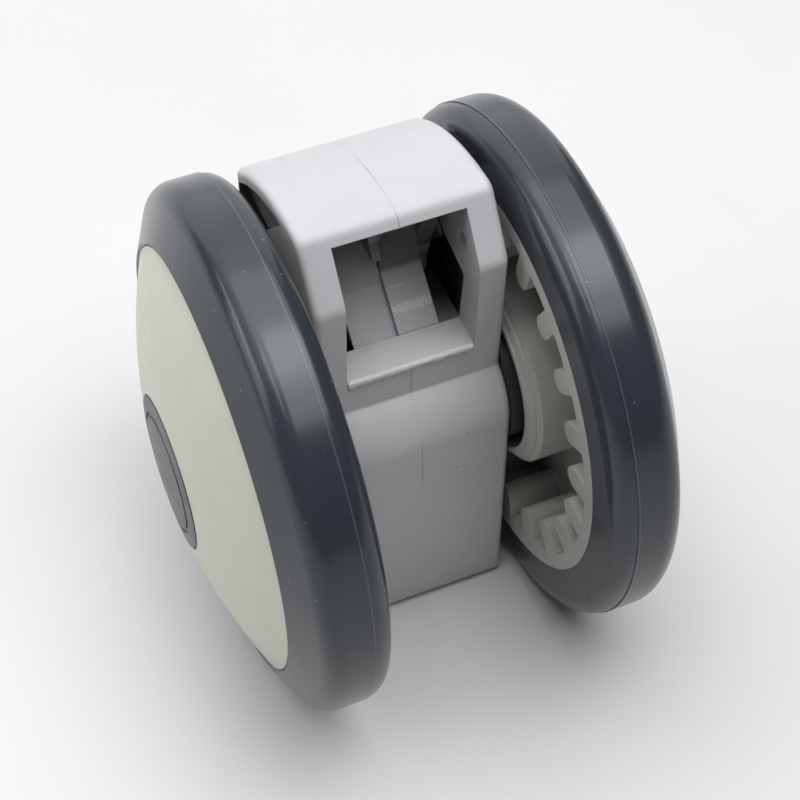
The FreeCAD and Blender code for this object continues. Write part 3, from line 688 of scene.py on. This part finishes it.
PAPER_WHITE = Paper("paper_white", (0.70, 0.70, 0.705), (0.68, 0.68, 0.685))


def dress(node: str, material: bpy.types.Material) -> None:
    """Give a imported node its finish.

    Args:
        node: Name of the node.
        material: The finish.
    """
    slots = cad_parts[node].data.materials
    slots.clear()
    slots.append(material)
    LOG.info("%s wears %s", node, material.name)


def piece(name: str, form: bmesh.types.BMesh, material: bpy.types.Material) -> bpy.types.Object:
    """Turn a bmesh into a piece.

    Args:
        name: Name of the piece.
        form: Its shape, which is freed.
        material: Its finish.

    Returns:
        The new object.
    """
    bmesh.ops.recalc_face_normals(form, faces=form.faces)
    mesh = bpy.data.meshes.new(name)
    form.to_mesh(mesh)
    form.free()
    mesh.materials.append(material)
    made = bpy.data.objects.new(name, mesh)
    bpy.context.scene.collection.objects.link(made)
    LOG.info("%s wears %s", name, material.name)
    return made


@dataclass
class Wheel:
    """One wheel: tyre, toothed core, bush, hub cap and centre cap."""

    side: Side

    def dress(self, finishes: "FinishShelf") -> None:
        """Give the wheel's nodes their finishes.

        Args:
            finishes: The materials.
        """
        for part, material in (("tyre", finishes.tyre), ("wheel_core", finishes.core),
                               ("wheel_bush", finishes.black), ("hub_cap", finishes.cream),
                               ("centre_cap", finishes.centre)):
            dress(f"{part}_{self.side.value}", material)


@dataclass
class FlashStrip:
    """Ragged moulding flash that rolls over the front edge of the pocket's sill."""

    half_width: float = 0.0181
    edge_y: float = -0.010325
    edge_z: float = AXLE_HEIGHT + 0.0262
    lean: float = -0.04235
    left_depth: float = 0.0021
    right_depth: float = 0.0013
    ragged: float = 0.0007
    ripples: Span = (1700.0, 760.0)
    ripple_shift: float = 1.0
    nick_x: float = 0.0036
    nick_half: float = 0.0006
    nick_share: float = 0.45
    thickness: float = 0.00015
    steps: int = 84
    seed: int = 5
    roll: tuple[Span, ...] = ((-0.0014, -0.00020), (-0.0008, 0.00003), (-0.0002, 0.00010),
                              (0.00014, 0.00002), (0.00034, -0.00024))
    proud: float = 0.00066
    lip: float = 0.0001

    def depth(self, across: float, rng: random.Random) -> float:
        """How far the flash hangs down at one place.

        Args:
            across: The place along the axle.
            rng: Source of the raggedness.

        Returns:
            The depth below the sill's edge.
        """
        share = 0.5 + 0.5 * across / self.half_width
        deep = self.left_depth + share * (self.right_depth - self.left_depth)
        fine, broad = self.ripples
        ripple = math.sin(fine * across) * math.sin(broad * across + self.ripple_shift)
        deep += self.ragged * (ripple + rng.random() - 0.5)
        if abs(across - self.nick_x) < self.nick_half:
            deep *= self.nick_share
        return deep

    def form(self) -> bmesh.types.BMesh:
        """Roll a grid over the edge, down to a border that wanders.

        Returns:
            The strip's shape.
        """
        rng = random.Random(self.seed)
        shape = bmesh.new()
        rows = len(self.roll) + 2
        bmesh.ops.create_grid(shape, x_segments=self.steps, y_segments=rows - 1, size=1.0)
        depths: dict[float, float] = {}
        for vert in shape.verts:
            across = vert.co.x * self.half_width
            deep = depths.setdefault(round(across, 7), self.depth(across, rng))
            row = round((1.0 - vert.co.y) / 2 * (rows - 1))
            if row < len(self.roll):
                out, rise = self.roll[row]
            elif row == len(self.roll):
                out, rise = self.proud, -deep
            else:
                out, rise = 0.0, -deep - self.lip
            vert.co = Vector((across, self.edge_y - out + self.lean * min(rise, 0.0), self.edge_z + rise))
        for face in shape.faces:
            face.smooth = True
        bmesh.ops.recalc_face_normals(shape, faces=shape.faces)
        bmesh.ops.solidify(shape, geom=shape.faces[:], thickness=self.thickness)
        return shape


@dataclass
class SillRidge:
    """Low moulded ridge along the back edge of the pocket's sill."""

    half_width: float = 0.0181
    back_y: float = 0.0
    depth: float = 0.0010
    base_z: float = AXLE_HEIGHT + 0.0261
    height: float = 0.0003
    rounding: float = 0.00012

    def form(self) -> bmesh.types.BMesh:
        """Shape a flat bar and round its edges.

        Returns:
            The ridge's shape.
        """
        shape = bmesh.new()
        bmesh.ops.create_cube(shape, size=1.0)
        bmesh.ops.scale(shape, vec=(2 * self.half_width, self.depth, self.height), verts=shape.verts)
        middle = Vector((0.0, self.back_y - self.depth / 2, self.base_z + self.height / 2))
        bmesh.ops.translate(shape, vec=middle, verts=shape.verts)
        bmesh.ops.bevel(shape, geom=shape.edges[:], offset=self.rounding, offset_type="OFFSET",
                        affect="EDGES", segments=2, profile=0.5, material=-1)
        return shape


@dataclass
class LeafSpring:
    """Bent steel leaf under the hood that lifts the bar."""

    left_x: float = -0.0059
    width: float = 0.0050
    wall: float = 0.0008
    path: tuple[Span, ...] = ((0.02800, 0.137845), (0.04150, 0.129874),
                              (0.027056, 0.109369), (0.032192, 0.104613))
    bend: float = 0.0004
    longest: float = 0.003
    cuts: int = 9

    def form(self) -> bmesh.types.BMesh:
        """Draw the leaf's path, widen it, round its bends and give it its wall.

        Returns:
            The leaf's shape.
        """
        shape = bmesh.new()
        corners = [shape.verts.new((self.left_x, along, high)) for along, high in self.path]
        edges = [shape.edges.new(pair) for pair in zip(corners, corners[1:])]
        grown = bmesh.ops.extrude_edge_only(shape, edges=edges)["geom"]
        far = [part for part in grown if isinstance(part, bmesh.types.BMVert)]
        bmesh.ops.translate(shape, vec=(self.width, 0.0, 0.0), verts=far)
        bends = [edge for edge in shape.edges if len(edge.link_faces) == 2]
        bmesh.ops.bevel(shape, geom=bends, offset=self.bend, offset_type="OFFSET", affect="EDGES",
                        segments=3, profile=0.5, material=-1)
        runs = [edge for edge in shape.edges if edge.calc_length() > self.longest
                and abs(edge.verts[0].co.x - edge.verts[1].co.x) < self.wall]
        bmesh.ops.subdivide_edges(shape, edges=runs, cuts=self.cuts, use_grid_fill=True)
        bmesh.ops.recalc_face_normals(shape, faces=shape.faces)
        shape.normal_update()
        for vert in shape.verts:
            vert.co += vert.normal * self.wall / 2
        bmesh.ops.solidify(shape, geom=shape.faces[:], thickness=self.wall)
        return shape

    def build(self, material: bpy.types.Material) -> None:
        """Hang the leaf between the hood and the rocker.

        Args:
            material: The leaf's finish.
        """
        leaf = piece("spring_leaf", self.form(), material)
        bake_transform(leaf)
        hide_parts("return_spring")


@dataclass
class Housing:
    """The two moulded halves with their axle, screws and bushes."""

    flash: FlashStrip = field(default_factory=FlashStrip)
    ridge: SillRidge = field(default_factory=SillRidge)

    def dress(self, finishes: "FinishShelf") -> None:
        """Give the housing's nodes their finishes and add the moulding marks.

        Args:
            finishes: The materials.
        """
        for side in Side:
            dress(f"housing_{side.value}", finishes.housing)
            dress(f"axle_spacer_{side.value}", finishes.black)
            dress(f"push_nut_{side.value}", finishes.steel_across)
        for node in ("axle", "housing_screws"):
            dress(node, finishes.steel_across)
        dress("rocker_pin", finishes.steel_black)
        for node in ("swivel_bush_upper", "swivel_bush_lower"):
            dress(node, finishes.black)
        flash = piece("sill_flash", self.flash.form(), finishes.flash)
        ridge = piece("sill_ridge", self.ridge.form(), finishes.housing)
        for mark in (flash, ridge):
            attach(mark, Body.HOUSING.value)


@dataclass
class Brake:
    """The rocker with its ramp, the bar that drops between the teeth and the spring that lifts it."""

    spring: LeafSpring = field(default_factory=LeafSpring)

    def dress(self, finishes: "FinishShelf") -> None:
        """Give the brake's nodes their finishes and add the spring.

        Args:
            finishes: The materials.
        """
        dress("brake_rocker", finishes.rocker)
        dress("brake_bar", finishes.steel_black)
        dress("return_spring", finishes.steel_black)
        self.spring.build(finishes.steel_black)


@dataclass
class Swivel:
    """The stem with its washer and clip."""

    def dress(self, finishes: "FinishShelf") -> None:
        """Give the swivel's nodes their finishes.

        Args:
            finishes: The materials.
        """
        dress("swivel_stem", finishes.steel_upright)
        dress("retaining_ring", finishes.steel_upright)
        dress("thrust_washer", finishes.black)


class FinishShelf:
    """Every material of the caster, made once."""

    def __init__(self) -> None:
        """Make the materials."""
        self.housing = HOUSING_GREY.make()
        self.core = CORE_GREY.make()
        self.cream = CAP_CREAM.make()
        self.centre = CENTRE_GREY.make()
        self.rocker = ROCKER_GREY.make()
        self.black = SPACER_BLACK.make()
        self.tyre = TYRE_SLATE.make()
        self.steel_across = STEEL_ACROSS.make()
        self.steel_black = STEEL_BLACK.make()
        self.steel_upright = STEEL_UPRIGHT.make()
        self.flash = FLASH_WHITE.make()
        self.paper = PAPER_WHITE.make()


@dataclass(frozen=True)
class Lamp:
    """A rectangular soft light: where it hangs, what it faces, its sides in metres and its power in watts."""

    name: str
    place: Point
    target: Point
    sides: Span
    power: float

    def hang(self) -> None:
        """Hang the light in the studio."""
        light = bpy.data.lights.new(self.name, "AREA")
        light.shape = "RECTANGLE"
        light.size, light.size_y = self.sides
        light.energy = self.power
        lamp = bpy.data.objects.new(self.name, light)
        lamp.location = self.place
        lamp.rotation_euler = (Vector(self.target) - Vector(self.place)).to_track_quat("-Z", "Y").to_euler()
        bpy.context.scene.collection.objects.link(lamp)


@dataclass
class Studio:
    """Pale paper floor, soft lights and the camera."""

    camera_place: Point = (-0.12659, -0.30720, 0.48455)
    forward: Point = (0.24145, 0.58131, -0.77703)
    upward: Point = (0.29806, 0.71760, 0.62946)
    lens: float = 85.29
    sensor: float = 36.0
    nearest: float = 0.01
    floor_half: float = 40.0
    floor_cells: int = 8
    sky: float = 0.03
    lamps: tuple[Lamp, ...] = (
        Lamp("overhead", (-0.40, 0.50, 1.60), (-0.40, 0.50, 0.08), (2.0, 1.8), 12.5),
        Lamp("top", (0.05, 0.18, 1.40), (0.05, 0.18, 0.08), (1.3, 1.3), 9.6),
        Lamp("front_panel", (0.33, -0.36, 1.15), (0.33, -0.36, 0.08), (0.70, 0.85), 6.3),
        Lamp("front_strip", (-0.30, -0.33, 1.15), (-0.30, -0.33, 0.08), (0.06, 0.56), 0.9),
        Lamp("back_wall", (0.20, 1.50, 0.85), (0.0, 0.0, 0.20), (2.8, 1.5), 14.0),
        Lamp("left_fill", (-1.20, 0.20, 0.65), (0.0, 0.0, 0.08), (0.8, 0.8), 3.8),
        Lamp("left_strip", (-1.20, 0.45, 0.85), (0.0, 0.0, 0.08), (1.0, 0.10), 1.8),
    )

    def floor(self, material: bpy.types.Material) -> None:
        """Lay the paper on the ground.

        Args:
            material: The paper's finish.
        """
        shape = bmesh.new()
        bmesh.ops.create_grid(shape, x_segments=self.floor_cells, y_segments=self.floor_cells,
                              size=self.floor_half)
        mesh = bpy.data.meshes.new("studio_paper")
        shape.to_mesh(mesh)
        shape.free()
        mesh.materials.append(material)
        paper = bpy.data.objects.new("studio_paper", mesh)
        bpy.context.scene.collection.objects.link(paper)

    def light(self) -> None:
        """Set the even white surroundings and hang the lamps."""
        world = bpy.data.worlds.new("studio_white")
        world.use_nodes = True
        background = world.node_tree.nodes["Background"]
        background.inputs["Color"].default_value = WHITE
        background.inputs["Strength"].default_value = self.sky
        bpy.context.scene.world = world
        bpy.context.scene.view_settings.view_transform = "Standard"
        for lamp in self.lamps:
            lamp.hang()

    def camera(self) -> None:
        """Set the camera where the picture was taken from."""
        lens = bpy.data.cameras.new("camera")
        lens.lens = self.lens
        lens.sensor_width = self.sensor
        lens.clip_start = self.nearest
        ahead = Vector(self.forward).normalized()
        right = ahead.cross(Vector(self.upward)).normalized()
        above = right.cross(ahead)
        turn = Matrix((right, above, -ahead)).transposed().to_4x4()
        camera = bpy.data.objects.new("camera", lens)
        camera.matrix_world = Matrix.Translation(self.camera_place) @ turn
        bpy.context.scene.collection.objects.link(camera)
        bpy.context.scene.camera = camera

    def build(self, finishes: FinishShelf) -> None:
        """Set up the floor, the lights and the camera.

        Args:
            finishes: The materials.
        """
        self.floor(finishes.paper)
        self.light()
        self.camera()


def main() -> None:
    """Build and dress every sub-assembly, then the studio."""
    logging.basicConfig(level=logging.INFO, format="%(name)s: %(message)s")
    finishes = FinishShelf()
    for part in (Wheel(Side.LEFT), Wheel(Side.RIGHT), Housing(), Brake(), Swivel()):
        part.dress(finishes)
    Studio().build(finishes)


if __name__ == "__main__":
    main()
